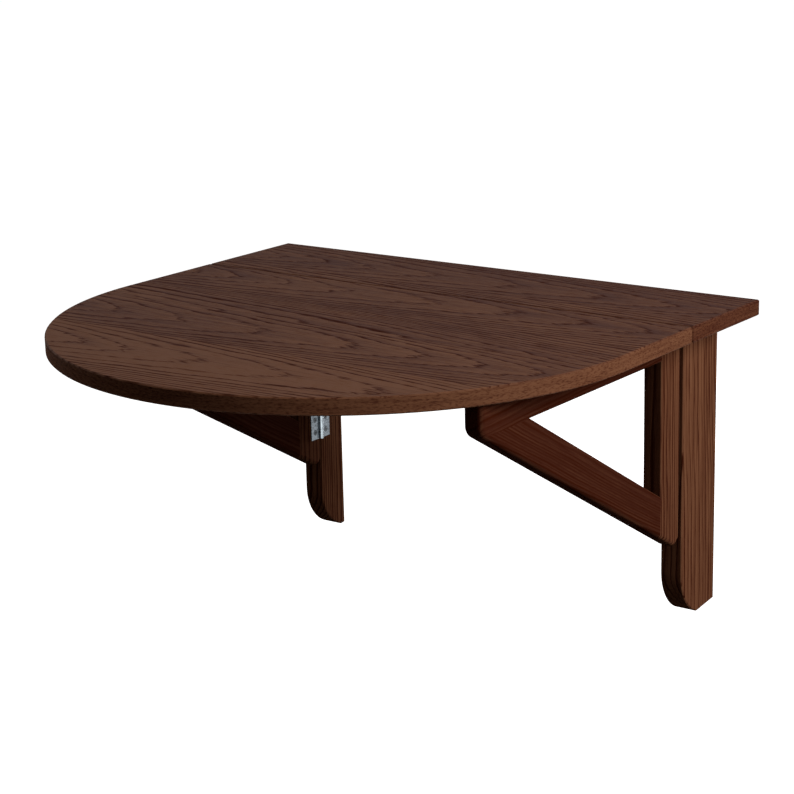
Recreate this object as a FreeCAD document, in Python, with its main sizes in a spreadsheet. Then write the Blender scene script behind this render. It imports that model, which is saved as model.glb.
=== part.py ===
"""Wall mounted drop leaf table: a fixed shelf, a D-shaped leaf and two swinging brackets.

Millimetres. The wall is the plane Y = 0 and the table stands out towards -Y, with +Z up.
The origin lies on the wall, midway along the line of wall screws in the back rail.
"""
import FreeCAD
import Part
import math
import os
import Sketcher

# Driving sizes, each with the word that expressions know it by
SIZES = {
    # Top: the shelf on the wall and the leaf that is hinged to it
    "top_width": "800",
    "top_depth": "755",
    "board_thickness": "21.5",
    "shelf_depth": "182",
    "joint_gap": "1.5",
    "joint_round": "5",
    "arris_size": "1.5",
    # Posts: the right one is deeper, so that its bracket folds in front of the left one
    "post_inset": "61",
    "post_width": "32",
    "post_height": "415",
    "left_post_depth": "53",
    "fold_clearance": "12",
    "foot_curve_depth": "46",
    "foot_curve_height": "66",
    "foot_rise_share": "0.1",
    "toe_radius": "10",
    # Back rail, with a line of holes for the wall screws
    "back_rail_height": "60",
    "back_rail_thickness": "24",
    "wall_screw_margin": "52",
    "wall_hole_diameter": "6.5",
    "wall_head_diameter": "12.5",
    "wall_head_angle": "90",
    # Brackets: stile, top rail and slanting brace
    "bracket_thickness": "27",
    "bracket_reach": "466",
    "bracket_height": "311",
    "nose_height": "39.5",
    "nose_radius": "18",
    "heel_radius": "9",
    "heel_share": "0.9",
    "bracket_round": "7",
    "stile_width": "48",
    "bracket_rail_height": "41",
    "brace_width": "50",
    "rest_gap": "0.3",
    "swing_gap": "2",
    # Butt hinges, the same on the brackets and under the leaf
    "hinge_length": "42",
    "hinge_leaf_width": "22",
    "hinge_thickness": "1.6",
    "barrel_radius": "3.2",
    "barrel_clearance": "0.3",
    "pin_radius": "1.6",
    "pin_clearance": "0.05",
    "knuckle_gap": "0.25",
    "recess_clearance": "0.2",
    "upper_hinge_drop": "55",
    "lower_hinge_rise": "69",
    "leaf_hinge_spacing": "250",
    # Tenons of the glued joints
    "tenon_thickness": "9",
    "tenon_length": "22",
    "stub_length": "12",
    "tenon_share": "0.5",
    "overrun": "5",
}

# Sums that several pieces share
HALF_TOP = "(size.top_width / 2)"
UNDERSIDE = "(size.back_rail_height / 2)"
POST_OUTER = f"({HALF_TOP} - size.post_inset)"
POST_INNER = f"({POST_OUTER} - size.post_width)"
RIGHT_POST_DEPTH = "(size.left_post_depth + size.bracket_thickness + size.fold_clearance)"
LEAF_BACK = "(size.shelf_depth + size.joint_gap)"
LEAF_AXIS_Y = "(-size.shelf_depth - size.joint_gap / 2)"
LEAF_AXIS_Z = f"({UNDERSIDE} + size.barrel_radius)"
BRACKET_TOP = f"({UNDERSIDE} - size.rest_gap)"
BRACE_SLOPE = "((size.bracket_height - size.nose_height) / size.bracket_reach)"
BRACE_DROP = f"(size.brace_width * sqrt(1 + {BRACE_SLOPE}^2))"
BRACE_FOOT = f"(-size.bracket_height + {BRACE_SLOPE} * size.stile_width)"
INNER_CORNER = f"((size.bracket_height - size.bracket_rail_height - {BRACE_DROP}) / {BRACE_SLOPE})"
NOSE_LAP = f"((size.bracket_height - size.bracket_rail_height) / {BRACE_SLOPE} - {INNER_CORNER})"

# Hinge barrels: where each knuckle starts and ends along the pin
HALF_KNUCKLE = "(size.hinge_length / 6)"
OUTER_KNUCKLES = (
    ("(-size.hinge_length / 2)", f"(-{HALF_KNUCKLE} - size.knuckle_gap / 2)"),
    (f"({HALF_KNUCKLE} + size.knuckle_gap / 2)", "(size.hinge_length / 2)"),
)
MIDDLE_KNUCKLE = ((f"(-{HALF_KNUCKLE} + size.knuckle_gap / 2)", f"({HALF_KNUCKLE} - size.knuckle_gap / 2)"),)
RUNNING_BORE = "size.pin_radius + size.pin_clearance"

# Each side's post depth, the direction from the middle of the table to it, and what is spaced along
POST_DEPTH = {"left": "size.left_post_depth", "right": RIGHT_POST_DEPTH}
SIGN = {"left": -1, "right": 1}
HINGE_DROP = {"upper": "size.upper_hinge_drop", "lower": "(size.bracket_height - size.lower_hinge_rise)"}
LEAF_HINGE_PLACE = {"left": -1, "right": 1}
WALL_HOLE_SHARES = (-1, -1 / 3, 1 / 3, 1)

X_AXIS = FreeCAD.Vector(1, 0, 0)
Y_AXIS = FreeCAD.Vector(0, 1, 0)
Z_AXIS = FreeCAD.Vector(0, 0, 1)
QUARTER = 90
SAME_PLACE = 0.01

doc = FreeCAD.newDocument("drop_leaf_table")
sheet = doc.addObject("Spreadsheet::Sheet", "size")
for row, (alias, number) in enumerate(SIZES.items(), start=1):
    sheet.set(f"A{row}", alias)
    sheet.set(f"B{row}", number)
    sheet.setAlias(f"B{row}", alias)
doc.recompute()
sub_parts = []


def value(text):
    """The number that an expression gives with the present sizes."""
    return float(sheet.evalExpression(text))


def times(factor, text):
    return f"({factor} * {text})"


def facing(x_axis, y_axis):
    """The turn that lays a piece's own X and Y along the two axes."""
    return FreeCAD.Rotation(x_axis, y_axis, x_axis.cross(y_axis))


def place(obj, at, turn=FreeCAD.Rotation()):
    obj.Placement = FreeCAD.Placement(FreeCAD.Vector(), turn)
    for axis, text in zip("xyz", at):
        obj.setExpression(f"Placement.Base.{axis}", text)


def keep(obj, label):
    """Name a finished sub-part."""
    obj.Label = label
    sub_parts.append(obj)
    return obj


# Sketches and features

def new_body(name):
    return doc.addObject("PartDesign::Body", name)


def sketch_on(body, role, offset="0"):
    sketch = body.newObject("Sketcher::SketchObject", f"{body.Name}_sketch")
    plane = next(item for item in body.Origin.OriginFeatures if item.Role == role)
    sketch.AttachmentSupport = [(plane, "")]
    sketch.MapMode = "FlatFace"
    sketch.setExpression("AttachmentOffset.Base.z", offset)
    return sketch


def limit(sketch, kind, geometry, end, text):
    number = sketch.addConstraint(Sketcher.Constraint(kind, -1, 1, geometry, end, value(text)))
    sketch.setExpression(f"Constraints[{number}]", text)


def arc_between(first, last, centre):
    """The arc from first to last, counter-clockwise about the centre."""
    circle = Part.Circle(centre, Z_AXIS, first.distanceToPoint(centre))
    angles = [math.atan2(point.y - centre.y, point.x - centre.x) for point in (first, last)]
    if angles[1] <= angles[0]:
        angles[1] += math.tau
    return Part.ArcOfCircle(circle, *angles)


def draw(sketch, corners, arcs=None):
    """Draw a closed outline; arcs gives the centre of each side that is round."""
    arcs = arcs or {}
    points = [FreeCAD.Vector(value(x), value(y), 0) for x, y in corners]
    first = sketch.GeometryCount
    for index, point in enumerate(points):
        after = points[(index + 1) % len(points)]
        if index in arcs:
            centre = FreeCAD.Vector(value(arcs[index][0]), value(arcs[index][1]), 0)
            sketch.addGeometry(arc_between(point, after, centre), False)
        else:
            sketch.addGeometry(Part.LineSegment(point, after), False)
    for index, corner in enumerate(corners):
        after = first + (index + 1) % len(points)
        sketch.addConstraint(Sketcher.Constraint("Coincident", first + index, 2, after, 1))
        limit(sketch, "DistanceX", first + index, 1, corner[0])
        limit(sketch, "DistanceY", first + index, 1, corner[1])
    for index, centre in arcs.items():
        limit(sketch, "DistanceY", first + index, 3, centre[1])


def draw_circle(sketch, at, radius):
    centre = FreeCAD.Vector(value(at[0]), value(at[1]), 0)
    number = sketch.addGeometry(Part.Circle(centre, Z_AXIS, value(radius)), False)
    limit(sketch, "DistanceX", number, 3, at[0])
    limit(sketch, "DistanceY", number, 3, at[1])
    tie = sketch.addConstraint(Sketcher.Constraint("Radius", number, value(radius)))
    sketch.setExpression(f"Constraints[{tie}]", radius)


def rectangle(left, right, low, high):
    return [(left, low), (right, low), (right, high), (left, high)]


def pad(body, sketch, length):
    feature = body.newObject("PartDesign::Pad", f"{body.Name}_pad")
    feature.Profile = sketch
    feature.setExpression("Length", length)
    doc.recompute()
    return feature


def bore(body, sketch):
    """Cut a sketch's circles right through, along the sketch's normal."""
    feature = body.newObject("PartDesign::Pocket", f"{body.Name}_bore")
    feature.Profile = sketch
    feature.Type = "ThroughAll"
    feature.Reversed = True
    doc.recompute()
    return feature


def dress(body, base, test, kind, side, text):
    """Work the edges of the base feature that pass the test."""
    names = [f"Edge{n}" for n, edge in enumerate(base.Shape.Edges, start=1) if test(edge)]
    feature = body.newObject(f"PartDesign::{kind}", f"{body.Name}_{kind.lower()}")
    feature.Base = (base, names)
    feature.setExpression(side, text)
    doc.recompute()
    return feature


def round_off(body, base, test, radius):
    return dress(body, base, test, "Fillet", "Radius", radius)


def ease(body, base, test):
    return dress(body, base, test, "Chamfer", "Size", "size.arris_size")


def flat_at(axis, *levels):
    """A test for edges that lie flat at one of the levels along an axis."""
    def test(edge):
        box = edge.BoundBox
        low = getattr(box, f"{axis}Min")
        high = getattr(box, f"{axis}Max")
        return any(max(abs(low - level), abs(high - level)) < SAME_PLACE for level in levels)
    return test


def corner_at(y, z):
    """A test for the edge that runs along X through a corner of the outline."""
    spot = FreeCAD.Vector(0, value(y), value(z))

    def test(edge):
        span = edge.BoundBox
        along_x = span.YLength + span.ZLength < SAME_PLACE
        return along_x and (edge.CenterOfMass - spot).cross(X_AXIS).Length < SAME_PLACE
    return test


# Primitives and groups

def cylinder(name, radius, length, at, turn=FreeCAD.Rotation()):
    rod = doc.addObject("Part::Cylinder", name)
    rod.setExpression("Radius", radius)
    rod.setExpression("Height", length)
    place(rod, at, turn)
    return rod


def box(name, sizes, at):
    block = doc.addObject("Part::Box", name)
    for side, text in zip(("Length", "Width", "Height"), sizes):
        block.setExpression(side, text)
    place(block, at)
    return block


def block(name, start, end):
    """A box between two opposite corners."""
    sizes = [f"({high} - {low})" for low, high in zip(start, end)]
    return box(name, sizes, start)


def group(name, members):
    bundle = doc.addObject("Part::Compound", name)
    bundle.Links = members
    return bundle


def cut(name, base, tools):
    """The base with the tools taken out of it."""
    result = doc.addObject("Part::Cut", name)
    result.Base = base
    result.Tool = tools[0] if len(tools) == 1 else group(f"{name}_tools", tools)
    return result


def common(name, base, tool):
    result = doc.addObject("Part::Common", name)
    result.Base = base
    result.Tool = tool
    return result


def fuse(name, members):
    result = doc.addObject("Part::MultiFuse", name)
    result.Shapes = members
    return result


# Hinges

def hinge_plate(name, knuckles, bore_radius):
    """One half of a hinge: its pin runs along Z through the origin and its plate along +X.

    The face that lies on the wood is one barrel radius below the pin.
    """
    body = new_body(name)
    face = "-size.barrel_radius"
    outer = "(size.hinge_thickness - size.barrel_radius)"
    start = "(size.barrel_radius + size.barrel_clearance)"
    half = "(size.hinge_length / 2)"
    sheet_metal = sketch_on(body, "XY_Plane", f"-{half}")
    draw(sheet_metal, rectangle(start, "size.hinge_leaf_width", face, outer))
    pad(body, sheet_metal, "size.hinge_length")
    root = f"sqrt(size.barrel_radius^2 - {outer}^2)"
    for low, high in knuckles:
        roll = sketch_on(body, "XY_Plane", low)
        corners = [("0", face), (start, face), (start, outer), (root, outer)]
        draw(roll, corners, {3: ("0", "0")})
        pad(body, roll, f"{high} - {low}")
    hole = sketch_on(body, "XY_Plane", f"-{half}")
    draw_circle(hole, ("0", "0"), bore_radius)
    bore(body, hole)
    return body


def hinge_pair(name, still_name, moving_name, at, still_turn, moving_turn):
    """Both halves of a hinge: the still half holds the pin and the moving half turns on it."""
    still = hinge_plate(f"{name}_{still_name}", OUTER_KNUCKLES, "size.pin_radius")
    place(still, at, still_turn)
    keep(still, f"{name}_{still_name}")
    moving = hinge_plate(f"{name}_{moving_name}", MIDDLE_KNUCKLE, RUNNING_BORE)
    place(moving, at, moving_turn)
    keep(moving, f"{name}_{moving_name}")


def hinge_pin(name, at, turn=FreeCAD.Rotation()):
    return keep(cylinder(name, "size.pin_radius", "size.hinge_length", at, turn), name)


# Top boards

def make_shelf():
    body = new_body("shelf_board")
    sketch = sketch_on(body, "XY_Plane")
    draw(sketch, rectangle(f"-{HALF_TOP}", HALF_TOP, "-size.shelf_depth", "0"))
    board = pad(body, sketch, "size.board_thickness")
    return ease_board(body, board, "-size.shelf_depth")


def make_leaf():
    """The D-shaped leaf: straight sides and a half circle as wide as the top."""
    body = new_body("leaf_board")
    straight = f"({HALF_TOP} - size.top_depth)"
    sketch = sketch_on(body, "XY_Plane")
    corners = [
        (f"-{HALF_TOP}", f"-{LEAF_BACK}"),
        (f"-{HALF_TOP}", straight),
        (HALF_TOP, straight),
        (HALF_TOP, f"-{LEAF_BACK}"),
    ]
    draw(sketch, corners, {1: ("0", straight)})
    board = pad(body, sketch, "size.board_thickness")
    return ease_board(body, board, f"-{LEAF_BACK}")


def ease_board(body, board, joint_line):
    """Ease every arris of a board, with a larger round under its hinged edge."""
    at_joint = flat_at("Y", value(joint_line))
    underneath = flat_at("Z", 0)
    rounded = round_off(body, board, lambda edge: at_joint(edge) and underneath(edge), "size.joint_round")
    on_faces = flat_at("Z", 0, value("size.board_thickness"))
    reach = value("size.joint_round")
    end_of_round = flat_at("Y", value(joint_line) - reach, value(joint_line) + reach)
    ease(body, rounded, lambda edge: on_faces(edge) and not end_of_round(edge))
    place(body, ("0", "0", UNDERSIDE))
    return body


# Wall frame

def make_post(side):
    """A post with its foot curved up to the front face."""
    depth = POST_DEPTH[side]
    body = new_body(f"{side}_post_blank")
    sketch = sketch_on(body, "YZ_Plane")
    front = f"-{depth}"
    curve_top = "(size.foot_curve_height - size.post_height)"
    curve_end = f"(size.foot_curve_depth - {depth})"
    radius = "((size.foot_curve_depth^2 + size.foot_curve_height^2) / (2 * size.foot_curve_depth))"
    heel = f"(-size.post_height - size.foot_rise_share * {curve_end})"
    corners = [("0", "0"), (front, "0"), (front, curve_top), (curve_end, "-size.post_height"), ("0", heel)]
    draw(sketch, corners, {2: (f"({radius} - {depth})", curve_top)})
    sawn = pad(body, sketch, "size.post_width")
    post = round_off(body, sawn, corner_at(curve_end, "-size.post_height"), "size.toe_radius")
    on_sides = flat_at("X", 0, value("size.post_width"))
    hidden = (flat_at("Y", 0), flat_at("Z", 0))
    ease(body, post, lambda edge: on_sides(edge) and not any(test(edge) for test in hidden))
    place(body, (POST_INNER if side == "right" else f"-{POST_OUTER}", "0", UNDERSIDE))
    return body


def make_back_rail():
    """The rail between the posts, with countersunk holes for the wall screws."""
    body = new_body("back_rail_blank")
    sketch = sketch_on(body, "XZ_Plane")
    draw(sketch, rectangle(f"-{POST_INNER}", POST_INNER, f"-{UNDERSIDE}", UNDERSIDE))
    pad(body, sketch, "size.back_rail_thickness")
    places = sketch_on(body, "XZ_Plane", "size.back_rail_thickness")
    outermost = f"({POST_INNER} - size.wall_screw_margin)"
    for share in WALL_HOLE_SHARES:
        draw_circle(places, (times(share, outermost), "0"), "size.wall_hole_diameter / 2")
    doc.recompute()
    holes = body.newObject("PartDesign::Hole", "wall_screw_holes")
    holes.Profile = places
    holes.DepthType = "ThroughAll"
    holes.HoleCutType = "Countersink"
    holes.HoleCutCustomValues = True
    holes.setExpression("Diameter", "size.wall_hole_diameter")
    holes.setExpression("HoleCutDiameter", "size.wall_head_diameter")
    holes.setExpression("HoleCutCountersinkAngle", "size.wall_head_angle")
    doc.recompute()
    return body


def middle_of(low, length, share="size.tenon_share"):
    """Both ends of a share of a length, taken from its middle."""
    spare = f"({length} * (1 - {share}) / 2)"
    return f"({low} + {spare})", f"({low} + {length} - {spare})"


def rail_tenon(side):
    """The tenon at one end of the back rail."""
    depth = middle_of("(-size.back_rail_thickness)", "size.back_rail_thickness",
                      "(size.tenon_thickness / size.back_rail_thickness)")
    height = middle_of(f"(-{UNDERSIDE})", "size.back_rail_height")
    if side == "right":
        across = (f"({POST_INNER} - size.overrun)", f"({POST_INNER} + size.tenon_length)")
    else:
        across = (f"(-{POST_INNER} - size.tenon_length)", f"(size.overrun - {POST_INNER})")
    return block(f"{side}_rail_tenon", *zip(across, depth, height))


def post_tenon(side):
    """The stub tenon on top of a post."""
    low = POST_INNER if side == "right" else f"(-{POST_OUTER})"
    across = middle_of(low, "size.post_width", "(size.tenon_thickness / size.post_width)")
    depth = middle_of(f"(-{POST_DEPTH[side]})", POST_DEPTH[side])
    height = (f"({UNDERSIDE} - size.overrun)", f"({UNDERSIDE} + size.stub_length)")
    return block(f"{side}_post_tenon", *zip(across, depth, height))


# Brackets

def bracket_blank(side):
    """A whole bracket with its eased edges, before it is parted at the joints."""
    body = new_body(f"{side}_bracket_blank")
    sketch = sketch_on(body, "YZ_Plane")
    nose = "-size.bracket_reach"
    slant = f"sqrt(1 + {BRACE_SLOPE}^2)"
    heel_start = f"(-size.heel_radius * (size.heel_share + {BRACE_SLOPE} / {slant}))"
    heel_low = f"(-size.bracket_height - {BRACE_SLOPE} * {heel_start})"
    heel_centre = ("(-size.heel_radius * size.heel_share)", f"({heel_low} + size.heel_radius / {slant})")
    heel_end = f"({heel_centre[1]} - size.heel_radius * sqrt(1 - size.heel_share^2))"
    corners = [("0", "0"), (nose, "0"), (nose, "-size.nose_height"), (heel_start, heel_low), ("0", heel_end)]
    draw(sketch, corners, {3: heel_centre})
    stile_front = "-size.stile_width"
    brace_top = f"({BRACE_FOOT} + {BRACE_DROP})"
    under_rail = "-size.bracket_rail_height"
    draw(sketch, [(stile_front, under_rail), (f"-{INNER_CORNER}", under_rail), (stile_front, brace_top)])
    blank = pad(body, sketch, "size.bracket_thickness")
    nosed = round_off(body, blank, corner_at(nose, "-size.nose_height"), "size.nose_radius")
    on_sides = flat_at("X", 0, value("size.bracket_thickness"))
    in_front = flat_at("Y", value(nose))
    on_top = flat_at("Z", 0)
    opening = (value(f"-{INNER_CORNER}") - SAME_PLACE, value(stile_front) + SAME_PLACE)

    def sharp(edge):
        around_opening = opening[0] < edge.BoundBox.YMin and edge.BoundBox.YMax < opening[1]
        return on_sides(edge) and (on_top(edge) or around_opening)
    rounded = round_off(body, nosed, lambda edge: on_sides(edge) and in_front(edge), "size.bracket_round")
    ease(body, rounded, sharp)
    inner = POST_INNER if side == "right" else f"(-{POST_INNER} - size.bracket_thickness)"
    place(body, (inner, f"(-{POST_DEPTH[side]} - size.swing_gap)", BRACKET_TOP))
    return body


def make_bracket(side):
    """Part the blank into its stile, rail and brace, and join them with tenons."""
    blank = bracket_blank(side)
    middle = f"({SIGN[side]} * ({POST_INNER} + size.bracket_thickness / 2))"
    left = f"({middle} - size.bracket_thickness)"
    right = f"({middle} + size.bracket_thickness)"
    back = f"(-{POST_DEPTH[side]} - size.swing_gap)"
    joint_y = f"({back} - size.stile_width)"
    joint_z = f"({BRACKET_TOP} - size.bracket_rail_height)"
    low = f"({BRACKET_TOP} - size.bracket_height - size.overrun)"
    tip = f"({back} - size.bracket_reach - size.overrun)"
    zones = {
        "stile": ((left, joint_y, low), (right, f"({back} + size.overrun)", UNDERSIDE)),
        "rail": ((left, tip, joint_z), (right, joint_y, UNDERSIDE)),
        "brace": ((left, tip, low), (right, joint_y, joint_z)),
    }
    sawn = {}
    for piece, (start, end) in zones.items():
        name = f"{side}_{piece}"
        sawn[piece] = common(f"{name}_sawn", blank, block(f"{name}_zone", start, end))
    across = (f"({middle} - size.tenon_thickness / 2)", f"({middle} + size.tenon_thickness / 2)")
    into_stile = (f"({joint_y} - size.overrun)", f"({joint_y} + size.tenon_length)")
    into_rail = (f"({joint_z} - size.overrun)", f"({joint_z} + size.tenon_length)")
    heights = {
        "rail": middle_of(joint_z, "size.bracket_rail_height"),
        "brace": middle_of(f"({BRACKET_TOP} + {BRACE_FOOT})", BRACE_DROP),
    }
    tenons = {piece: block(f"{side}_{piece}_tenon", *zip(across, into_stile, height))
              for piece, height in heights.items()}
    lap = middle_of(f"({back} - {INNER_CORNER} - {NOSE_LAP})", NOSE_LAP)
    lap_tenon = block(f"{side}_lap_tenon", *zip(across, lap, into_rail))
    stile = cut(f"{side}_bracket_stile", sawn["stile"], list(tenons.values()))
    tenoned_rail = fuse(f"{side}_tenoned_rail", [sawn["rail"], tenons["rail"]])
    rail = cut(f"{side}_bracket_rail", tenoned_rail, [lap_tenon])
    brace = fuse(f"{side}_bracket_brace", [sawn["brace"], tenons["brace"], lap_tenon])
    for piece in (stile, rail, brace):
        keep(piece, piece.Name)


# Bracket hinges, on the inner faces of the posts and stiles

def bracket_hinges(side):
    inward = X_AXIS * -SIGN[side]
    axis_x = times(SIGN[side], f"({POST_INNER} - size.barrel_radius)")
    axis_y = f"(-{POST_DEPTH[side]} - size.swing_gap / 2)"
    for name, drop in HINGE_DROP.items():
        label = f"{side}_{name}_hinge"
        level = f"({UNDERSIDE} - {drop})"
        hinge_pair(label, "post_plate", "bracket_plate", (axis_x, axis_y, level),
                   facing(Y_AXIS, inward), facing(-Y_AXIS, inward))
        hinge_pin(f"{label}_pin", (axis_x, axis_y, f"({level} - size.hinge_length / 2)"))


# Leaf hinges, let in flush under the joint with their barrels up between the boards

def leaf_hinges():
    for name, spot in LEAF_HINGE_PLACE.items():
        label = f"{name}_leaf_hinge"
        centre = times(spot, "size.leaf_hinge_spacing")
        hinge_pair(label, "shelf_plate", "leaf_plate", (centre, LEAF_AXIS_Y, LEAF_AXIS_Z),
                   facing(Y_AXIS, Z_AXIS), facing(-Y_AXIS, Z_AXIS))
        start = f"({centre} - size.hinge_length / 2)"
        hinge_pin(f"{label}_pin", (start, LEAF_AXIS_Y, LEAF_AXIS_Z), FreeCAD.Rotation(Y_AXIS, QUARTER))


def hinge_recesses(board):
    """What is cut from the shelf or the leaf for its flush hinge plates and the barrels."""
    way = {"shelf": 1, "leaf": -1}[board]
    length = "(size.hinge_length + 2 * size.recess_clearance)"
    width = "(size.hinge_leaf_width + size.recess_clearance)"
    depth = "(size.hinge_thickness + size.overrun)"
    along_x = FreeCAD.Rotation(Y_AXIS, QUARTER)
    tools = []
    for name, spot in LEAF_HINGE_PLACE.items():
        start = f"({spot} * size.leaf_hinge_spacing - {length} / 2)"
        near = LEAF_AXIS_Y if way > 0 else f"({LEAF_AXIS_Y} - {width})"
        tools.append(box(f"{name}_{board}_seat", (length, width, depth),
                         (start, near, f"({UNDERSIDE} - size.overrun)")))
        tools.append(cylinder(f"{name}_{board}_cove", "(size.barrel_radius + size.barrel_clearance)",
                              length, (start, LEAF_AXIS_Y, LEAF_AXIS_Z), along_x))
    return fuse(f"{board}_recesses", tools)


def make_table():
    rail_tenons = {side: rail_tenon(side) for side in SIGN}
    post_tenons = {side: post_tenon(side) for side in SIGN}
    shelf_cuts = [hinge_recesses("shelf"), *post_tenons.values()]
    keep(cut("wall_shelf", make_shelf(), shelf_cuts), "wall_shelf")
    keep(cut("drop_leaf", make_leaf(), [hinge_recesses("leaf")]), "drop_leaf")
    keep(fuse("back_rail", [make_back_rail(), *rail_tenons.values()]), "back_rail")
    leaf_hinges()
    for side in SIGN:
        post = fuse(f"{side}_tenoned_post", [make_post(side), post_tenons[side]])
        keep(cut(f"{side}_post", post, [rail_tenons[side]]), f"{side}_post")
        make_bracket(side)
        bracket_hinges(side)


def check_and_write():
    """Stop on any failed object, then write each sub-part to its own file."""
    doc.recompute()
    failed = [item.Name for item in doc.Objects if {"Invalid", "Error"} & set(item.State)]
    failed += [item.Label for item in sub_parts if item.Shape.isNull() or not item.Shape.isValid()]
    if failed:
        raise RuntimeError("failed: " + ", ".join(failed))
    os.makedirs("parts", exist_ok=True)
    for item in sub_parts:
        item.Shape.exportStep(f"parts/{item.Label}.step")
        print(item.Label, len(item.Shape.Solids), round(item.Shape.Volume))


make_table()
check_and_write()
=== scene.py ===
"""Dresses the wall mounted drop leaf table: dark stained ash, zinc plated hinges and their screws."""
import math
from typing import NamedTuple

import bmesh
import bpy
from bpy.props import FloatProperty, FloatVectorProperty, IntProperty, PointerProperty
from mathutils import Color, Matrix, Vector


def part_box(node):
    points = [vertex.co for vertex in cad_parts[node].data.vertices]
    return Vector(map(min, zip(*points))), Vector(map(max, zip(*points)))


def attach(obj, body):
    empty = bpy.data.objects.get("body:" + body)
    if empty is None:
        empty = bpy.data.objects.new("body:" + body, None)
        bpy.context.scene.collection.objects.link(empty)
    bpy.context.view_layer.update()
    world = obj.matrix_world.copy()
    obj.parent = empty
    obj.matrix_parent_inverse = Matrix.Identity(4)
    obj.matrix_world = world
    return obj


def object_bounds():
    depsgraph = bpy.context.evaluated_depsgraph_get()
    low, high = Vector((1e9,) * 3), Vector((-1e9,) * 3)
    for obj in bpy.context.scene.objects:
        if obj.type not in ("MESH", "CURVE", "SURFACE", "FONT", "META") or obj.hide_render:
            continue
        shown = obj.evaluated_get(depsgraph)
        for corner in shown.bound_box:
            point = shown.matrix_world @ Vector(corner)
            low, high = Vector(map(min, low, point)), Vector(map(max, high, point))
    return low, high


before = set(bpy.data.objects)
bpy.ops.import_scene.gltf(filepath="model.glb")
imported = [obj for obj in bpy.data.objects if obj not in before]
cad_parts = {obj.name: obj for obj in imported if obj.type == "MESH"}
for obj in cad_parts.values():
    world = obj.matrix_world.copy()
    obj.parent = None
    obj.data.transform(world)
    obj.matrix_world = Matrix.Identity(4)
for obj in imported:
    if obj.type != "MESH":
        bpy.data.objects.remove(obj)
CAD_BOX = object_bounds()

bl_info = {
    "name": "Drop leaf table",
    "version": (1, 0, 0),
    "blender": (4, 5, 0),
    "location": "3D View > Sidebar > Table",
    "description": "Gives a wall mounted drop leaf table its stained wood, its hinges' metal and its screws",
    "category": "Object",
}

SCREEN_LEVELS = 255
SIDES = ("left", "right")
STOREYS = ("upper", "lower")
AXES = ((1, 0, 0), (0, 1, 0), (0, 0, 1))
X_WAY, Y_WAY, Z_WAY = AXES


def tone(red, green, blue):
    """A colour as it shows on a screen, 0 to 255, as Blender's own linear numbers."""
    shown = Color((red / SCREEN_LEVELS, green / SCREEN_LEVELS, blue / SCREEN_LEVELS))
    return tuple(shown.from_srgb_to_scene_linear())


def colour(name, description, default):
    return FloatVectorProperty(
        name=name, description=description, default=default, size=3, subtype="COLOR", min=0, max=1)


def length(name, description, default):
    return FloatProperty(
        name=name, description=description, default=default, subtype="DISTANCE", unit="LENGTH", precision=5)


def share(name, description, default):
    return FloatProperty(
        name=name, description=description, default=default, subtype="FACTOR", min=0, max=1)


def angle(name, description, degrees):
    return FloatProperty(
        name=name, description=description, default=math.radians(degrees), subtype="ANGLE", unit="ROTATION")


def power(name, description, watts):
    return FloatProperty(name=name, description=description, default=watts, subtype="POWER", unit="POWER")


class WoodSettings(bpy.types.PropertyGroup):
    """The stained ash of the boards and of the frame under them."""

    pale: colour("Pale wood", "Late wood, which takes the least stain", tone(118, 77, 54))
    body: colour("Body", "The stain's middle tone", tone(93, 55, 37))
    dark: colour("Dark wood", "Early wood, which takes the most stain", tone(66, 31, 20))
    pore: colour("Pores", "Stain gathered in the open pores", tone(60, 22, 8))
    board_rings: length("Board rings", "From one growth ring of the boards' veneer to the next", 0.0046)
    upright_rings: length(
        "Upright rings", "From one growth ring of the uprights and the back rail to the next", 0.0058)
    bracket_rings: length("Bracket rings", "From one growth ring of the rails and braces to the next", 0.004)
    board_line: length("Board line", "Width of the dark line at a growth ring of the boards", 0.005)
    frame_line: length("Frame line", "Width of the dark line at a growth ring of the frame", 0.0028)
    board_rise: share("Board rise", "How fast the rings of a board's veneer run out along it", 0.05)
    frame_rise: share("Frame rise", "How fast the rings of a frame piece run out along it", 0.03)
    waver: length("Waver", "How far the rings wander sideways", 0.018)
    pore_length: length("Pore length", "Length of one open pore", 0.014)
    pore_width: length("Pore width", "Width of one open pore", 0.0007)
    leaf_rim: share("Leaf rim", "Stain of the leaf's bent lipping", 0.04)
    shelf_rim: share("Shelf rim", "Stain of the shelf's straight lippings", 0.42)
    roughness: share("Roughness", "Roughness of the oil film", 0.6)
    board_film: share("Board film", "Strength of the hard oil film's reflection on the boards", 0.3)
    frame_film: share("Frame film", "Strength of the hard oil film's reflection on the frame", 0.02)
    brace_slope: angle("Brace slope", "Slope of the brackets' braces", 30.2)


class HingeSettings(bpy.types.PropertyGroup):
    """The butt hinges and their screws."""

    # Lighter zinc on the knuckles and along rounded edges: a painted highlight
    knuckle_highlight: colour("Burnished zinc", "Zinc rubbed on the knuckles and along edges", tone(178, 190, 196))
    zinc: colour("Zinc", "Zinc on the flat of the plates", tone(106, 113, 119))
    dull_zinc: colour("Dull zinc", "Darker specks in the plates", tone(82, 88, 93))
    screw: colour("Screws", "Plate of the screw heads", tone(84, 88, 92))
    steel: colour("Steel", "Bare steel of the hinge pins", tone(168, 171, 176))
    recess: colour("Recess", "Shade in a screw's cross and round its head", tone(24, 26, 28))
    head_radius: length("Head radius", "Radius of a screw head", 0.0032)
    head_rise: length("Head rise", "How far a head stands out of its plate", 0.0002)
    head_depth: length("Head depth", "Depth of a head's cone in its plate", 0.0012)
    # The countersink's ring is a dark ring of painted shade laid on the plate round a head
    rim_width: length("Rim width", "Width of the countersink's ring round a head", 0.0008)
    screw_pitch: length("Screw pitch", "From one screw of a plate to the next", 0.02)
    screw_reach: length("Screw reach", "From the pin's middle to the screws", 0.0128)
    head_sides: IntProperty(name="Head sides", description="Corners round a screw head", default=32, min=16)


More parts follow.
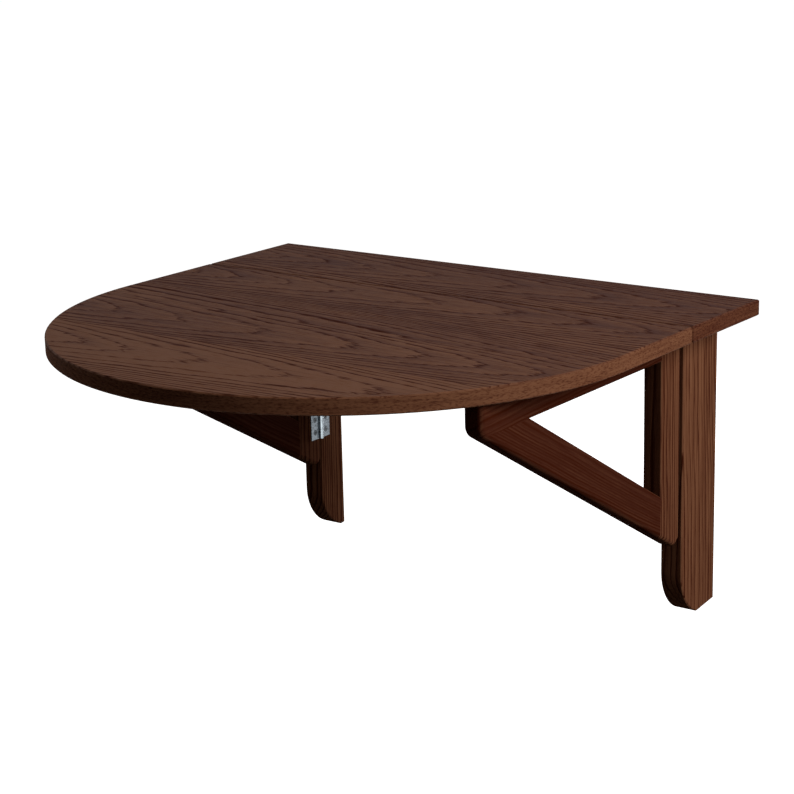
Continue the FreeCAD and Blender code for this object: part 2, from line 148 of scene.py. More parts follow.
class StageSettings(bpy.types.PropertyGroup):
    """The floor, the lamps and the camera."""

    floor: colour("Floor", "The plain pale floor", (0.9, 0.9, 0.9))
    floor_level: length("Floor level", "Height of the floor, from the wall screws", -0.7)
    camera_place: FloatVectorProperty(
        name="Camera place", description="Where the camera stands", default=(1.6217, -2.4656, 0.6614),
        size=3, subtype="XYZ", unit="LENGTH")
    camera_turn: angle("Camera turn", "How far the camera stands round to the right", 36.44)
    camera_dip: angle("Camera dip", "How far the camera looks down", 15.11)
    camera_roll: angle("Camera roll", "How far the camera leans", -1.38)
    camera_lens: FloatProperty(
        name="Camera lens", description="Focal length", default=95.2,
        subtype="DISTANCE_CAMERA", unit="CAMERA")
    fill: share("Fill", "Even light from all round", 0.065)
    fill_colour: colour("Fill colour", "Colour of the even light", (1.0, 0.84, 0.76))
    side_power: power("Side lamp", "Power of the large lamp on the right", 73)
    left_power: power("Left lamp", "Power of the lamp on the left", 14)
    rear_power: power("Rear lamp", "Power of the low lamp on the wall's side", 30)


class TableSettings(bpy.types.PropertyGroup):
    """All that a user would change."""

    wood: PointerProperty(type=WoodSettings, name="Wood", description="The stained ash")
    hinges: PointerProperty(type=HingeSettings, name="Hinges", description="Hinges and screws")
    stage: PointerProperty(type=StageSettings, name="Stage", description="Floor, lamps and camera")


class Waves(NamedTuple):
    """How fine a noise is: its waves per metre along three directions, and its layers of finer noise."""

    first: float
    second: float
    third: float
    detail: float = 2.0


class Value:
    """A shader socket that takes part in Python sums."""

    def __init__(self, finish, socket):
        self.finish = finish
        self.socket = socket

    def of(self, output):
        """Another output of the same node."""
        return Value(self.finish, self.socket.node.outputs[output])

    def math(self, operation, *others):
        return self.finish.sum(operation, self, *others)

    def __add__(self, other):
        return self.math("ADD", other)

    __radd__ = __add__

    def __sub__(self, other):
        return self.math("SUBTRACT", other)

    def __rsub__(self, other):
        return self.finish.sum("SUBTRACT", other, self)

    def __mul__(self, other):
        return self.math("MULTIPLY", other)

    __rmul__ = __mul__

    def __truediv__(self, other):
        return self.math("DIVIDE", other)

    def __rtruediv__(self, other):
        return self.finish.sum("DIVIDE", other, self)

    def __abs__(self):
        return self.math("ABSOLUTE")

    def root(self):
        return self.math("SQRT")

    def fraction(self):
        return self.math("FRACT")

    def floor(self):
        return self.math("FLOOR")

    def most(self, other):
        return self.math("MAXIMUM", other)

    def between(self, low, high):
        """Low where the value is 0 and high where it is 1."""
        return low + (high - low) * self

    def ramp(self, low, high, start=0.0, end=1.0):
        """Goes smoothly from start to end while the value goes from low to high."""
        return self.finish.add(
            "ShaderNodeMapRange", {"interpolation_type": "SMOOTHSTEP"},
            {"Value": self, "From Min": low, "From Max": high, "To Min": start, "To Max": end})

    def fall(self, low, high):
        """Goes smoothly from 1 to 0 while the value goes from low to high."""
        return self.ramp(low, high, 1.0, 0.0)


class Finish:
    """A node tree that expressions fill."""

    def __init__(self, owner):
        owner.use_nodes = True
        self.owner = owner
        self.tree = owner.node_tree
        self.tree.nodes.clear()

    def add(self, kind, settings, sockets, output=0):
        """Adds a node, sets it up, joins its sockets and gives one of its outputs."""
        node = self.tree.nodes.new(kind)
        for name, setting in settings.items():
            if name == "stops":
                self.set_stops(node.color_ramp, setting)
            elif name == "interpolation":
                node.color_ramp.interpolation = setting
            else:
                setattr(node, name, setting)
        for name, value in sockets.items():
            if isinstance(value, Value):
                self.tree.links.new(value.socket, node.inputs[name])
            else:
                node.inputs[name].default_value = value
        return Value(self, node.outputs[output]) if node.outputs else None

    @staticmethod
    def set_stops(ramp, stops):
        while len(ramp.elements) < len(stops):
            ramp.elements.new(1.0)
        for element, (position, stop) in zip(ramp.elements, stops):
            element.position = position
            element.color = (*stop, 1.0)

    def sum(self, operation, *values):
        return self.add("ShaderNodeMath", {"operation": operation}, dict(enumerate(values)))

    def place(self):
        """A point's place on the piece, in metres, and its face's direction there."""
        place = self.add("ShaderNodeTexCoord", {}, {}, "Object")
        return place, place.of("Normal")

    def along(self, vector, ways=AXES):
        """How far a vector goes in each direction."""
        return [
            self.add("ShaderNodeVectorMath", {"operation": "DOT_PRODUCT"}, {0: vector, 1: way}, "Value")
            for way in ways]

    def facing(self, normal, ways=AXES):
        """How squarely a face looks along each direction, either way, from 0 to 1."""
        return [abs(part) for part in self.along(normal, ways)]

    def noise(self, parts, waves, start=0.0):
        """Noise from 0 to 1; another start along the first direction gives another pattern."""
        stretched = [part * scale for part, scale in zip(parts, waves)]
        if start:
            stretched[0] = stretched[0] + start
        vector = self.add("ShaderNodeCombineXYZ", {}, dict(enumerate(stretched)))
        return self.add("ShaderNodeTexNoise", {}, {"Vector": vector, "Scale": 1.0, "Detail": waves.detail})

    def sway(self, parts, waves, start=0.0):
        """Noise to both sides of 0."""
        return self.noise(parts, waves, start) - 0.5

    def chance(self, number):
        """An even random number for each whole number."""
        return self.add("ShaderNodeTexWhiteNoise", {"noise_dimensions": "1D"}, {"W": number}, "Value")

    def tint(self, factor, stops, interpolation="LINEAR"):
        return self.add(
            "ShaderNodeValToRGB", {"interpolation": interpolation, "stops": stops}, {"Fac": factor}, "Color")

    def bump(self, height, strength, distance, invert=False):
        return self.add(
            "ShaderNodeBump", {"invert": invert},
            {"Strength": strength, "Distance": distance, "Height": height})

    def surface(self, shader):
        """Ends the tree in this shader."""
        of_world = isinstance(self.owner, bpy.types.World)
        self.add("ShaderNodeOutputWorld" if of_world else "ShaderNodeOutputMaterial", {}, {"Surface": shader})
        return self.owner

    def principled(self, sockets):
        return self.surface(self.add("ShaderNodeBsdfPrincipled", {}, sockets))


def new_finish(name):
    return Finish(bpy.data.materials.new(name))


def give(material, names):
    """Puts a material on CAD nodes."""
    for name in names:
        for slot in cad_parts[name].material_slots:
            slot.link = "OBJECT"
            slot.material = material


class Cut(NamedTuple):
    """How a wooden piece was sawn: its rings, their dark lines, their rise and the start of its noises."""

    spacing: float
    line: float
    rise: float
    seed: float = 0.0


# Noises of the rings, along the grain and then across it; the crowding counts in years instead
RING_DRIFT = Waves(2.4, 7.0, 7.0)
RING_RIPPLE = Waves(12.0, 50.0, 50.0, 3.0)
RING_FLAME = Waves(9.0, 300.0, 300.0)
RING_BREAK = Waves(40.0, 260.0, 260.0)
RING_CROWDING = Waves(1 / 7, 1.0, 1.0, 0.0)

# How far the noises shift the rings, in rings; flames show most where the saw grazes a ring
CROWDING_SHIFT = 5.0
RIPPLE_SHIFT = 0.7
FLAME_SHIFT = 0.7
FLAME_REACH = 1.1
LEAST_STEEPNESS = 0.16

# A ring's dark line comes and goes within so many line widths, and ends within these parts of a ring
LINE_COMES = (0.0, 0.4)
LINE_GOES = (0.4, 1.3)
LINE_ENDS = (0.2, 0.65)

# How thin or weak the line gets where the saw grazes it, where it breaks and in a faint year, and the
# shade that follows it
GRAZED_LINE = 0.5
BREAK_LIMITS = (0.35, 0.6)
BROKEN_LINE = 0.8
FAINTEST_LINE = 0.45
RING_SHADE = (0.15, 0.65)


def growth_rings(finish, wood, cut, run, off, deep):
    """The dark lines of the growth rings and the shade that follows each.

    The rings lie round the tree's heart, which sinks away along the grain by the cut's rise.
    """
    parts = (run, off, deep)
    drift = finish.sway(parts, RING_DRIFT, cut.seed)
    ripple = finish.sway(parts, RING_RIPPLE, cut.seed)
    flame = finish.sway(parts, RING_FLAME, cut.seed)
    aside = off + drift * wood.waver
    sunk = deep + run * cut.rise
    radius = (aside * aside + sunk * sunk).root()
    slant = (aside * aside + sunk * sunk * cut.rise ** 2).root()
    steepness = (slant / radius).most(LEAST_STEEPNESS)
    years = radius / cut.spacing
    crowding = finish.sway((years, cut.seed, 0.0), RING_CROWDING)
    grazing = flame * (FLAME_REACH - steepness)
    turn = years + crowding * CROWDING_SHIFT + ripple * RIPPLE_SHIFT + grazing * FLAME_SHIFT
    part = turn.fraction()
    width = cut.line * steepness * steepness.between(GRAZED_LINE, 1.0)
    after = part * cut.spacing / width
    line = after.ramp(*LINE_COMES) * after.fall(*LINE_GOES) * part.fall(*LINE_ENDS)
    lot = finish.chance(turn.floor() + cut.seed)
    broken = finish.noise(parts, RING_BREAK, cut.seed).ramp(*BREAK_LIMITS, BROKEN_LINE, 1.0)
    return line * broken * lot.between(FAINTEST_LINE, 1.0), (1.0 - part) * lot.between(*RING_SHADE)


# Waves of the streaks and fibres, per metre along the grain and per ring across it
STREAK_ALONG = 4.0
STREAKS_PER_RING = 1.0
FIBRE_ALONG = 16.0
FIBRES_PER_RING = 2.4

# How high the noise of the pores is where they open
PORE_LIMITS = (0.56, 0.72)


def fibres(finish, wood, cut, run, off, deep):
    """Streaks and fine fibres along the grain, and the open pores among them."""
    parts = (run, off, deep)
    streaks = STREAKS_PER_RING / cut.spacing
    threads = FIBRES_PER_RING / cut.spacing
    streak = finish.sway(parts, Waves(STREAK_ALONG, streaks, streaks, detail=3.0), cut.seed)
    fibre = finish.sway(parts, Waves(FIBRE_ALONG, threads, threads, detail=4.0), cut.seed)
    narrow = 1 / wood.pore_width
    pores = finish.noise(parts, Waves(1 / wood.pore_length, narrow, narrow, detail=1.0), cut.seed)
    return streak + fibre, pores.ramp(*PORE_LIMITS)


# The oiled wood: its colours along the stain, its grain's depth, its roughness and its broken film
BODY_STAIN = 0.38
DARK_STAIN = 0.75
GRAIN_STRENGTH = 0.35
GRAIN_DEPTH = 0.0003
WOOD_ROUGHNESS = (0.7, 0.85)
FILM_BREAKS = (0.0, 0.75)
BROKEN_FILM = 0.2


def oiled_wood(finish, wood, stain, open_grain, film):
    """The oiled surface: its colour from the stain, with a thin film that breaks over the open grain."""
    colours = finish.tint(
        stain, ((0.0, wood.pale), (BODY_STAIN, wood.body), (DARK_STAIN, wood.dark), (1.0, wood.pore)))
    return finish.principled({
        "Base Color": colours, "Roughness": open_grain.between(*WOOD_ROUGHNESS),
        "Normal": finish.bump(stain, GRAIN_STRENGTH, GRAIN_DEPTH, invert=True),
        "Specular IOR Level": 0.0, "Coat Roughness": wood.roughness,
        "Coat Weight": film * open_grain.ramp(*FILM_BREAKS, 1.0, BROKEN_FILM)})


# Veneer leaves of the boards, from the front to the wall: where each starts, its heart line, how far below
# the wall screws the heart lies and the leaf's shade. The shades step darker towards the wall: partly the
# leaves' own tone, partly painted shade that makes the front of the top lighter and the wall side darker
VENEER = (
    (-0.760, -0.640, 0.072, 0.15),
    (-0.562, -0.482, 0.080, 0.49),
    (-0.418, -0.455, 0.140, 0.54),
    (-0.318, -0.234, 0.076, 0.57),
    (-0.152, -0.090, 0.074, 0.68),
)

# From the wall to the front of the first leaf
VENEER_REACH = 0.760

# The shade of a leaf that has no stain but that of its figure; paler leaves have less
EVEN_SHADE = 0.36

# The boards' stain: their rings, clouds and pores, and the speckles and streaks of the lippings
BOARD_RINGS_STAIN = 1.05
BOARD_CLOUD = Waves(3.0, 11.0, 1.0)
BOARD_CLOUD_STAIN = 0.7
BOARD_PORE_STAIN = (0.1, 0.25)
SPECKLE = Waves(190.0, 190.0, 760.0, 3.0)
SPECKLE_LIMITS = (0.44, 0.7)
SPECKLE_STAIN = 0.5
RIM_STREAK = Waves(14.0, 14.0, 300.0)
RIM_STREAK_STAIN = 0.9
RIM_TO_TOP = (0.5, 0.9)
RIM_FILM = 0.25


def veneer_leaf(finish, across):
    """The heart line, the heart's depth and the shade of the veneer leaf at each place across the boards.

    One ramp of level steps carries all three as a colour: red is the heart line, as a share of the veneer's
    reach, green the depth in metres and blue the shade, which is partly the leaf's tone and partly painted
    shade.
    """
    stops = [(start / VENEER_REACH + 1.0, (heart / VENEER_REACH + 1.0, depth, shade))
             for start, heart, depth, shade in VENEER]
    leaf = finish.tint(across / VENEER_REACH + 1.0, stops, "CONSTANT")
    heart = finish.add("ShaderNodeSeparateColor", {}, {"Color": leaf})
    return (heart - 1.0) * VENEER_REACH, heart.of("Green"), heart.of("Blue")


def board_ash(wood, name, rim_shade):
    """Crown cut veneer in leaves side by side along the boards, with speckled lippings round the rim."""
    finish = new_finish(name)
    place, normal = finish.place()
    parts = run, across, up = finish.along(place)
    # A leaf's shade is partly its own tone and partly painted shade: lighter at the front, darker towards the
    # wall
    heart, depth, shade = veneer_leaf(finish, across)
    cut = Cut(wood.board_rings, wood.board_line, wood.board_rise)
    rings, shading = growth_rings(finish, wood, cut, run, across - heart, depth + up)
    fine, pores = fibres(finish, wood, cut, *parts)
    cloud = finish.sway(parts, BOARD_CLOUD)
    top = (shade - EVEN_SHADE + rings * BOARD_RINGS_STAIN + shading + fine + cloud * BOARD_CLOUD_STAIN
           + pores * rings.between(*BOARD_PORE_STAIN))
    speckle = finish.noise(parts, SPECKLE).ramp(*SPECKLE_LIMITS)
    rim = rim_shade + speckle * SPECKLE_STAIN + finish.sway(parts, RIM_STREAK) * RIM_STREAK_STAIN
    upward = finish.facing(normal, [Z_WAY])[0]
    flat = upward.ramp(*RIM_TO_TOP)
    stain = rim + (top - rim) * flat
    return oiled_wood(finish, wood, stain, rings.most(pores), wood.board_film * flat.between(RIM_FILM, 1.0))


class Figure(NamedTuple):
    """How a kind of frame piece shows its grain.

    The grain runs along one way, and another way lies across it. The tree's heart lies off the middle of the
    wall screws by two distances across the grain, the first of them along that other way. Then come the
    stain of the rings, that of the fibres and that of the whole piece.
    """

    run_way: tuple
    off_way: tuple
    heart: tuple
    ring_stain: float
    fibre_stain: float
    shade: float


# The frame's stain: clouds, pores and the thirsty ends of pieces, and a painted highlight on the edges
# between their faces
FRAME_CLOUD = Waves(3.0, 14.0, 14.0)
FRAME_CLOUD_STAIN = 0.25
FRAME_PORE_STAIN = (0.1, 0.3)
END_LIMITS = (0.8, 0.98)
END_STAIN = 0.2
ARRIS_LIMITS = (0.78, 0.96)
ARRIS_PAINTED_HIGHLIGHT = 0.14


def frame_ash(wood, name, figure, spacing, seed):
    """Straight grained ash for one kind of frame piece."""
    finish = new_finish(name)
    place, normal = finish.place()
    ways = (figure.run_way, figure.off_way, Vector(figure.run_way).cross(Vector(figure.off_way)))
    parts = run, off, deep = finish.along(place, ways)
    cut = Cut(spacing, wood.frame_line, wood.frame_rise, seed)
    rings, shading = growth_rings(finish, wood, cut, run, off - figure.heart[0], deep - figure.heart[1])
    fine, pores = fibres(finish, wood, cut, *parts)
    cloud = finish.sway(parts, FRAME_CLOUD, seed)
    end, side, edge = finish.facing(normal, ways)
    # The rounded edges between the faces are painted lighter: a painted highlight
    arris = end.most(side.most(edge)).fall(*ARRIS_LIMITS)
    stain = (figure.shade + (rings + shading) * figure.ring_stain + fine * figure.fibre_stain
             + cloud * FRAME_CLOUD_STAIN + pores * rings.between(*FRAME_PORE_STAIN)
             + end.ramp(*END_LIMITS) * END_STAIN - arris * ARRIS_PAINTED_HIGHLIGHT)
    return oiled_wood(finish, wood, stain, rings.most(pores), wood.frame_film)


# The hinges' metal: clouds and drawing marks of the zinc, turning lines of the pins, grime on the screws
ZINC_CLOUD = Waves(320.0, 320.0, 320.0, 3.0)
DULL_LIMITS = (0.42, 0.66)
DRAWING_MARKS = Waves(2400.0, 2400.0, 260.0)
MARK_STRENGTH = 0.15
MARK_DEPTH = 0.00005
PLATE_LIMITS = (0.9, 0.99)
PLATE_SHEEN = 0.5
ZINC_ROUGHNESS = 0.2
DULL_ROUGHNESS = 0.12
MARK_ROUGHNESS = 0.1
TURNING_LINES = Waves(300.0, 300.0, 3000.0)
TURNING_LIMITS = (0.3, 0.7)
STEEL_ROUGHNESS = (0.25, 0.45)
GRIME = Waves(900.0, 900.0, 900.0, 3.0)
GRIME_LIMITS = (0.45, 0.8)
SCREW_ROUGHNESS = (0.35, 0.55)
# How much darker the painted shade in the screws' crosses and rings gets in patches
DARKER_PAINTED_SHADE = 0.5


def bright_zinc(hinges):
    """Zinc with faint drawing marks and darker specks, with a painted highlight of lighter zinc on the
    knuckles and along edges.
    """
    finish = new_finish("bright_zinc")
    place, normal = finish.place()
    parts = finish.along(place)
    dull = finish.noise(parts, ZINC_CLOUD).ramp(*DULL_LIMITS)
    marks = finish.noise(parts, DRAWING_MARKS)
    across, back, upright = finish.facing(normal)
    flat = across.most(back).most(upright).ramp(*PLATE_LIMITS)
    # Curved faces get the lighter zinc, a painted highlight on the knuckles and along edges
    stops = ((0.0, hinges.knuckle_highlight), (PLATE_SHEEN, hinges.zinc), (1.0, hinges.dull_zinc))
    return finish.principled({
        "Base Color": finish.tint(flat * dull.between(PLATE_SHEEN, 1.0), stops), "Metallic": 1.0,
        "Roughness": ZINC_ROUGHNESS + DULL_ROUGHNESS * dull + MARK_ROUGHNESS * marks,
        "Normal": finish.bump(marks, MARK_STRENGTH, MARK_DEPTH)})


def worn_metal(name, waves, limits, colours, roughness):
    """Metal whose colour and roughness follow one noise, from the first colour to the second."""
    finish = new_finish(name)
    place, _ = finish.place()
    noise = finish.noise(finish.along(place), waves)
    return finish.principled({
        "Base Color": finish.tint(noise, tuple(zip(limits, colours))), "Metallic": 1.0,
        "Roughness": noise.between(*roughness)})


def turned_steel(hinges):
    """Turned steel of the hinge pins."""
    return worn_metal(
        "turned_steel", TURNING_LINES, TURNING_LIMITS, (hinges.steel, hinges.dull_zinc), STEEL_ROUGHNESS)


def screw_metal(name, light, dark):
    """Dull metal of the screws, darker in patches; the same makes the painted shade in their crosses and
    rings.
    """
    return worn_metal(name, GRIME, GRIME_LIMITS, (light, dark), SCREW_ROUGHNESS)


# A screw head's forms, as shares of its radius, depth or rise; the cross's floor is a share of its mouth
CONE_TIP = 0.45
CONE_MOUTH = 0.1
RING_HEIGHT = 0.1
FOOT_HEIGHT = 0.12
SHOULDER = 0.97
SHOULDER_HEIGHT = 0.7
CROWN = 0.8
CROSS_REACH = 0.62
CROSS_HALF_WIDTH = 0.17
CROSS_FLOOR = 0.9
CROSS_FLOOR_HEIGHT = 0.2

# The cross's arms, and a number that keeps a division from zero
CROSS_ARMS = 4
TINY = 1e-6

# Slots of a screw head's metal and of the painted shade in its cross and round it
HEAD, SHADED = 0, 1

# How far the cross of a plate's first screw is turned, and each next one more, in degrees
FIRST_TURN = 20
NEXT_TURN = 35


def cross_outline(radius, half_width, corners):
    """A cross recess's outline as distances from its middle, at even steps round it."""
    outline = []
    for step in range(corners):
        turn = (step / corners * CROSS_ARMS + 0.5) % 1 - 0.5
        way = abs(turn) * 2 * math.pi / CROSS_ARMS
        arm = radius / math.cos(way)
        outline.append(min(arm, half_width / max(math.sin(way), TINY)))
    return outline


def screw_profile(hinges):
    """A screw head from its cone to the floor of its cross: rings of distances from its middle.

    With each ring goes its height and the slot of the band that starts there: the head's metal or its painted
    shade.
    """
    radius, rise, depth = hinges.head_radius, hinges.head_rise, hinges.head_depth
    corners = hinges.head_sides
    cross = cross_outline(radius * CROSS_REACH, radius * CROSS_HALF_WIDTH, corners)
    return (
        ([radius * CONE_TIP] * corners, -depth, HEAD),
        ([radius] * corners, -depth * CONE_MOUTH, HEAD),
        ([radius + hinges.rim_width] * corners, rise * RING_HEIGHT, SHADED),
        ([radius] * corners, rise * FOOT_HEIGHT, HEAD),
        ([radius * SHOULDER] * corners, rise * SHOULDER_HEIGHT, HEAD),
        ([max(radius * CROWN, arm) for arm in cross], rise, HEAD),
        (cross, rise, SHADED),
        ([arm * CROSS_FLOOR for arm in cross], rise * CROSS_FLOOR_HEIGHT, SHADED),
    )


def add_screw(mesh, hinges, seat):
    """Adds one countersunk screw head to a mesh: a cone, a ring, a low dome and a cross sunk into it."""
    corners = hinges.head_sides
    profile = screw_profile(hinges)
    loops = []
    for distances, height, _ in profile:
        loop = []
        for step, distance in enumerate(distances):
            turn = 2 * math.pi * step / corners
            point = Vector((distance * math.cos(turn), distance * math.sin(turn), height))
            loop.append(mesh.verts.new(seat @ point))
        loops.append(loop)
    # The ring round the head and the cross take the slot of painted shade
    for outer, inner, (_, _, metal) in zip(loops, loops[1:], profile):
        for step in range(corners):
            after = (step + 1) % corners
            face = mesh.faces.new((outer[step], outer[after], inner[after], inner[step]))
            face.material_index = metal
    for loop in (loops[0], loops[-1]):
        mesh.faces.new(loop).material_index = SHADED


def screw_seats(plate, pin, out, hinges):
    """Where a plate's screws sit: half a pitch each way along the pin, off the pin by the screws' reach."""
    low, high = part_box(plate)
    pin_low, pin_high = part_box(pin)
    size = pin_high - pin_low
    length_way = max(range(3), key=lambda axis: size[axis])
    out_way = max(range(3), key=lambda axis: abs(out[axis]))
    side_way = 3 - length_way - out_way
    pin_middle = (pin_low + pin_high) / 2
    plate_middle = (low + high) / 2
    side = 1 if plate_middle[side_way] > pin_middle[side_way] else -1
    turn = Vector(Z_WAY).rotation_difference(Vector(out)).to_matrix().to_4x4()
    seats = []
    for end in (-0.5, 0.5):
        point = pin_middle.copy()
        point[length_way] += end * hinges.screw_pitch
        point[side_way] += side * hinges.screw_reach
        point[out_way] = plate_face(plate, pin_middle, out, side_way, out_way, hinges.screw_reach)
        twist = Matrix.Rotation(math.radians(FIRST_TURN + NEXT_TURN * len(seats)), 4, "Z")
        seats.append(Matrix.Translation(point) @ turn @ twist)
    return seats


def plate_face(plate, pin_middle, out, side_way, out_way, reach):
    """How far out a hinge's flat plate stands, past its knuckles."""
    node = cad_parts[plate]
    points = [node.matrix_world @ corner.co for corner in node.data.vertices]
    flat = [point[out_way] for point in points if abs(point[side_way] - pin_middle[side_way]) > reach]
    return max(flat) if out[out_way] > 0 else min(flat)


def add_object(name, mesh, materials):
    """Puts a finished mesh into the scene."""
    data = bpy.data.meshes.new(name)
    mesh.to_mesh(data)
    mesh.free()
    for material in materials:
        data.materials.append(material)
    made = bpy.data.objects.new(name, data)
    bpy.context.scene.collection.objects.link(made)
    return made


def build_screws(name, body, plates, hinges, metal_and_shade):
    """One mesh of screw heads for the plates of one body."""
    mesh = bmesh.new()
    for plate, pin, out in plates:
        for seat in screw_seats(plate, pin, out, hinges):
            add_screw(mesh, hinges, seat)
    bmesh.ops.recalc_face_normals(mesh, faces=mesh.faces)
    screws = add_object(name, mesh, metal_and_shade)
    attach(screws, body)


class TABLE_OT_boards(bpy.types.Operator):
    """Gives the shelf and the leaf their crown cut veneer"""

    bl_idname = "drop_leaf_table.boards"
    bl_label = "Boards"

    def execute(self, context):
        wood = context.scene.drop_leaf_table.wood
        give(board_ash(wood, "leaf_ash", wood.leaf_rim), ["drop_leaf"])
        give(board_ash(wood, "shelf_ash", wood.shelf_rim), ["wall_shelf"])
        return {"FINISHED"}


class TABLE_OT_wall_frame(bpy.types.Operator):
    """Gives the posts and the back rail their straight grain"""

    bl_idname = "drop_leaf_table.wall_frame"
    bl_label = "Wall frame"

    def execute(self, context):
        wood = context.scene.drop_leaf_table.wood
        post = Figure(Z_WAY, Y_WAY, (0.3, 0.08), ring_stain=0.8, fibre_stain=1.0, shade=0.05)
        rail = Figure(X_WAY, Z_WAY, (0.25, 0.06), ring_stain=0.5, fibre_stain=0.6, shade=0.2)
        posts = [side + "_post" for side in SIDES]
        give(frame_ash(wood, "post_ash", post, wood.upright_rings, seed=3.0), posts)
        give(frame_ash(wood, "back_rail_ash", rail, wood.upright_rings, seed=7.0), ["back_rail"])
        return {"FINISHED"}


class TABLE_OT_brackets(bpy.types.Operator):
    """Gives the brackets' stiles, rails and braces grain that runs along each piece"""

    bl_idname = "drop_leaf_table.brackets"
    bl_label = "Brackets"

    def execute(self, context):
        wood = context.scene.drop_leaf_table.wood
        rise, reach = math.sin(wood.brace_slope), math.cos(wood.brace_slope)
        stile = Figure(Z_WAY, Y_WAY, (0.35, -0.05), ring_stain=0.6, fibre_stain=0.8, shade=0.17)
        rail = Figure(Y_WAY, Z_WAY, (0.3, 0.05), ring_stain=0.3, fibre_stain=0.4, shade=0.7)
        brace = rail._replace(run_way=(0, reach, -rise), off_way=(0, rise, reach), heart=(0.28, -0.06))
        pieces = (
            ("stile", stile, wood.upright_rings, 11.0),
            ("rail", rail, wood.bracket_rings, 15.0),
            ("brace", brace, wood.bracket_rings, 19.0),
        )
        for piece, figure, spacing, seed in pieces:
            ash = frame_ash(wood, piece + "_ash", figure, spacing, seed)
            give(ash, [side + "_bracket_" + piece for side in SIDES])
        return {"FINISHED"}


class TABLE_OT_hinges(bpy.types.Operator):
    """Gives the hinges their zinc and their pins their steel"""

    bl_idname = "drop_leaf_table.hinges"
    bl_label = "Hinges"

    def execute(self, context):
        hinges = context.scene.drop_leaf_table.hinges
        names = [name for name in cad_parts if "_hinge_" in name]
        give(bright_zinc(hinges), [name for name in names if name.endswith("_plate")])
        give(turned_steel(hinges), [name for name in names if name.endswith("_pin")])
        return {"FINISHED"}


class TABLE_OT_screws(bpy.types.Operator):
    """Makes the screw heads of all hinge plates"""

    bl_idname = "drop_leaf_table.screws"
    bl_label = "Hinge screws"

    def execute(self, context):
        hinges = context.scene.drop_leaf_table.hinges
        # The second material is painted shade, for the screws' crosses and the rings round their heads
        metal_and_shade = (screw_metal("screw_head", hinges.screw, hinges.recess),
                  screw_metal("screw_recess", hinges.recess, hinges.recess * DARKER_PAINTED_SHADE))
        inward = {"left": (1, 0, 0), "right": (-1, 0, 0)}
        down = (0, 0, -1)
        still, leaf = [], []
        for side in SIDES:
            swung = []
            for storey in STOREYS:
                hinge = f"{side}_{storey}_hinge_"
                still.append((hinge + "post_plate", hinge + "pin", inward[side]))
                swung.append((hinge + "bracket_plate", hinge + "pin", inward[side]))
            build_screws(side + "_bracket_screws", side + "_bracket", swung, hinges, metal_and_shade)
            hinge = f"{side}_leaf_hinge_"
            still.append((hinge + "shelf_plate", hinge + "pin", down))
            leaf.append((hinge + "leaf_plate", hinge + "pin", down))
        build_screws("wall_frame_screws", "wall_frame", still, hinges, metal_and_shade)
        build_screws("drop_leaf_screws", "drop_leaf", leaf, hinges, metal_and_shade)
        return {"FINISHED"}


WHITE = (1, 1, 1, 1)
ROOM_STRENGTH = 1.0
UNSEEN_FLOOR = (0.06, 0.06, 0.06, 1)
FLOOR_GLOW = 0.96
FLOOR_RADIUS = 30.0
FLOOR_SIDES = 64
SENSOR_WIDTH = 36.0

# The lamps: each one's place from the middle of the table, its width and the setting of its power
LAMPS = (
    ("side_lamp", (2.7, 0.24, 1.34), 1.6, "side_power"),
    ("left_lamp", (-2.9, 0.3, 0.5), 1.6, "left_power"),
    ("rear_lamp", (0.0, 3.0, -0.2), 0.6, "rear_power"),
)


def seen(finish):
    """1 where the camera looks, directly or in metal, and 0 where light only bounces."""
    camera = finish.add("ShaderNodeLightPath", {}, {}, "Is Camera Ray")
    return camera.most(camera.of("Is Glossy Ray")).most(camera.of("Is Transmission Ray"))


def light_room(scene, stage):
    """An even white room that lights the table only as much as the fill says."""
    finish = Finish(scene.world or bpy.data.worlds.new("room"))
    scene.world = finish.owner
    fill = (*stage.fill_colour, 1)
    dim = finish.add("ShaderNodeBackground", {}, {"Color": fill, "Strength": stage.fill})
    bright = finish.add("ShaderNodeBackground", {}, {"Color": WHITE, "Strength": ROOM_STRENGTH})
    finish.surface(finish.add("ShaderNodeMixShader", {}, {0: seen(finish), 1: dim, 2: bright}))


def lay_floor(stage):
    """A wide pale floor, white to the camera, that keeps the table's shadow and is clear from below."""
    finish = new_finish("pale_floor")
    dull = finish.add("ShaderNodeBsdfDiffuse", {}, {"Color": UNSEEN_FLOOR})
    lit = finish.add("ShaderNodeBsdfDiffuse", {}, {"Color": (*stage.floor, 1)})
    glow = finish.add("ShaderNodeEmission", {}, {"Color": WHITE, "Strength": FLOOR_GLOW})
    pale = finish.add("ShaderNodeAddShader", {}, {0: lit, 1: glow})
    ground = finish.add("ShaderNodeMixShader", {}, {0: seen(finish), 1: dull, 2: pale})
    under = finish.add("ShaderNodeNewGeometry", {}, {}, "Backfacing")
    clear = finish.add("ShaderNodeBsdfTransparent", {}, {})
    finish.surface(finish.add("ShaderNodeMixShader", {}, {0: under, 1: ground, 2: clear}))
    mesh = bmesh.new()
    bmesh.ops.create_circle(
        mesh, cap_ends=True, segments=FLOOR_SIDES, radius=FLOOR_RADIUS,
        matrix=Matrix.Translation((0, 0, stage.floor_level)))
    floor = add_object("floor", mesh, [finish.owner])


def hang_lamp(scene, name, place, aim, size, watts):
    """A round lamp at a place, turned to what it lights."""
    data = bpy.data.lights.new(name, "AREA")
    data.shape = "DISK"
    data.size = size
    data.energy = watts
    lamp = bpy.data.objects.new(name, data)
    lamp.location = place
    lamp.rotation_euler = (aim - place).to_track_quat("-Z", "Y").to_euler()
    scene.collection.objects.link(lamp)


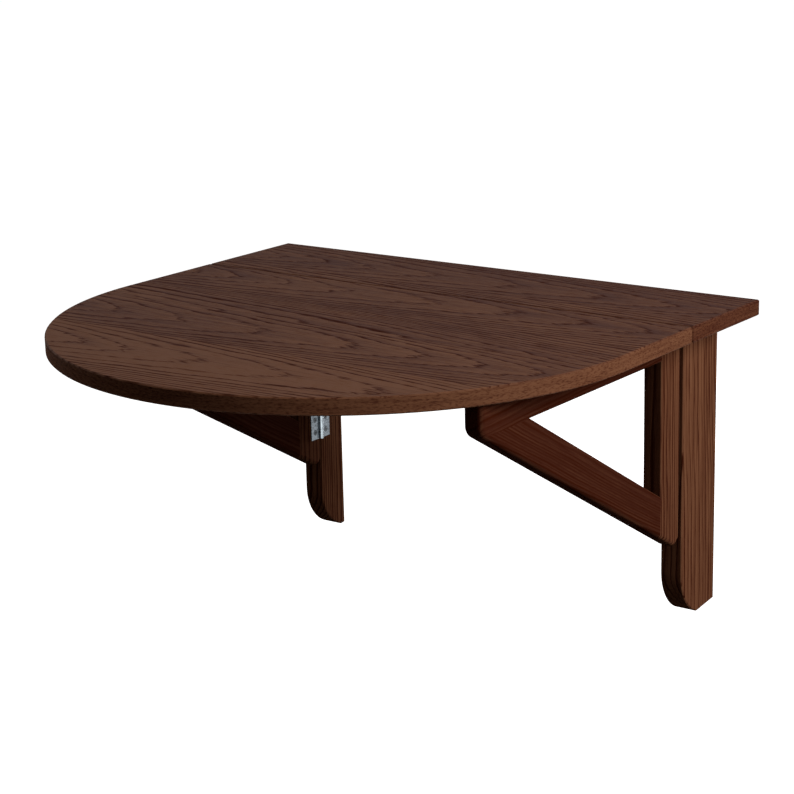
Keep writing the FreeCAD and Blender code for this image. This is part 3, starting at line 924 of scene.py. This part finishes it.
def set_camera(scene, stage):
    """The camera at the photograph's viewing angle."""
    turn, dip, roll = stage.camera_turn, stage.camera_dip, stage.camera_roll
    ahead = Vector((-math.sin(turn) * math.cos(dip), math.cos(turn) * math.cos(dip), -math.sin(dip)))
    level = Vector((math.cos(turn), math.sin(turn), 0))
    upright = level.cross(ahead)
    right = math.cos(roll) * level + math.sin(roll) * upright
    up = math.cos(roll) * upright - math.sin(roll) * level
    data = bpy.data.cameras.new("camera")
    data.sensor_width = SENSOR_WIDTH
    data.lens = stage.camera_lens
    camera = bpy.data.objects.new("camera", data)
    camera.location = stage.camera_place
    camera.rotation_euler = Matrix((right, up, -ahead)).transposed().to_euler()
    scene.collection.objects.link(camera)
    scene.camera = camera


class TABLE_OT_stage(bpy.types.Operator):
    """Lays the floor, hangs the lamps and sets the camera"""

    bl_idname = "drop_leaf_table.stage"
    bl_label = "Stage"

    def execute(self, context):
        scene = context.scene
        stage = scene.drop_leaf_table.stage
        scene.view_settings.view_transform = "Standard"
        light_room(scene, stage)
        lay_floor(stage)
        middle = (CAD_BOX[0] + CAD_BOX[1]) / 2
        for name, away, size, setting in LAMPS:
            hang_lamp(scene, name, middle + Vector(away), middle, size, getattr(stage, setting))
        set_camera(scene, stage)
        return {"FINISHED"}


OPERATORS = (TABLE_OT_boards, TABLE_OT_wall_frame, TABLE_OT_brackets, TABLE_OT_hinges, TABLE_OT_screws,
             TABLE_OT_stage)


class VIEW3D_PT_drop_leaf_table(bpy.types.Panel):
    """The table's settings and steps"""

    bl_label = "Drop leaf table"
    bl_idname = "VIEW3D_PT_drop_leaf_table"
    bl_space_type = "VIEW_3D"
    bl_region_type = "UI"
    bl_category = "Table"

    def draw(self, context):
        table = context.scene.drop_leaf_table
        for group in (table.wood, table.hinges, table.stage):
            box = self.layout.box()
            for name in group.__annotations__:
                box.prop(group, name)
        for operator in OPERATORS:
            self.layout.operator(operator.bl_idname)


CLASSES = (WoodSettings, HingeSettings, StageSettings, TableSettings, *OPERATORS, VIEW3D_PT_drop_leaf_table)


def register():
    for made in CLASSES:
        bpy.utils.register_class(made)
    bpy.types.Scene.drop_leaf_table = PointerProperty(
        type=TableSettings, name="Drop leaf table", description="The table's settings")


def unregister():
    del bpy.types.Scene.drop_leaf_table
    for made in reversed(CLASSES):
        bpy.utils.unregister_class(made)


def main():
    register()
    steps = bpy.ops.drop_leaf_table
    steps.boards()
    steps.wall_frame()
    steps.brackets()
    steps.hinges()
    steps.screws()
    steps.stage()


if __name__ == "__main__":
    main()
